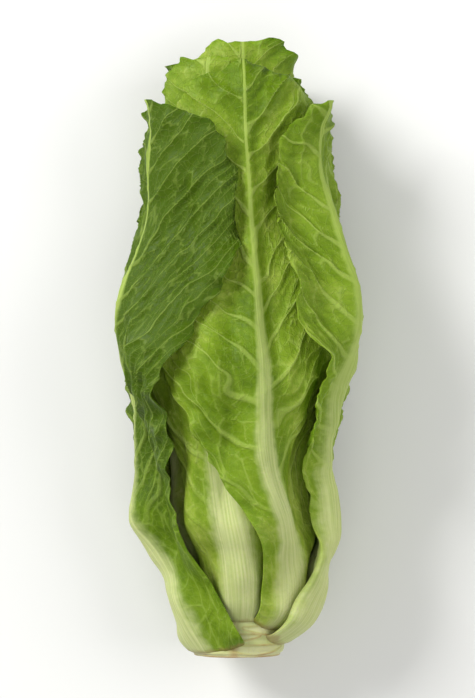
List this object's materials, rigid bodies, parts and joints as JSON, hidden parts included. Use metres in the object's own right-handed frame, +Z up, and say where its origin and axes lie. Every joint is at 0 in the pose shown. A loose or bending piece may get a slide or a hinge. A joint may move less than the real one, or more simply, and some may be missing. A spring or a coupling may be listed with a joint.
{
  "type": "romaine heart",
  "caption": "Heart of a romaine lettuce: long leaves with thick midribs packed round a short cut stem, lying on its back.",
  "frame": {"origin": "on the surface that the heart lies on, below the middle of its length and width", "axes": "+Y from the cut end to the leaf tips, along the heart's length; +Z up, away from the surface; +X to the right of the heart seen from above with its tips up"},
  "size_m": [0.0918, 0.232, 0.0738],
  "materials": {
    "outer_leaf": "leaf: green blade with a pale midrib, slightly waxy sheen",
    "middle_leaf": "leaf: yellow-green blade with a pale midrib, slightly waxy sheen",
    "inner_leaf": "leaf: pale yellow blade with a cream midrib, slightly waxy sheen",
    "stem": "moist cream stem with a cut face that has started to turn brown"
  },
  "bodies": {
    "root": {"cut_stem": "stem", "outer_leaf_01": "outer_leaf", "outer_leaf_02": "outer_leaf", "outer_leaf_03": "outer_leaf", "outer_leaf_04": "outer_leaf", "outer_leaf_05": "outer_leaf", "outer_leaf_06": "outer_leaf", "outer_leaf_07": "outer_leaf", "middle_leaf_08": "middle_leaf", "middle_leaf_09": "middle_leaf", "middle_leaf_10": "middle_leaf", "middle_leaf_11": "middle_leaf", "middle_leaf_12": "middle_leaf", "middle_leaf_13": "middle_leaf", "inner_leaf_14": "inner_leaf", "inner_leaf_15": "inner_leaf", "inner_leaf_16": "inner_leaf", "inner_leaf_17": "inner_leaf", "inner_leaf_18": "inner_leaf"}
  },
  "joints": []
}
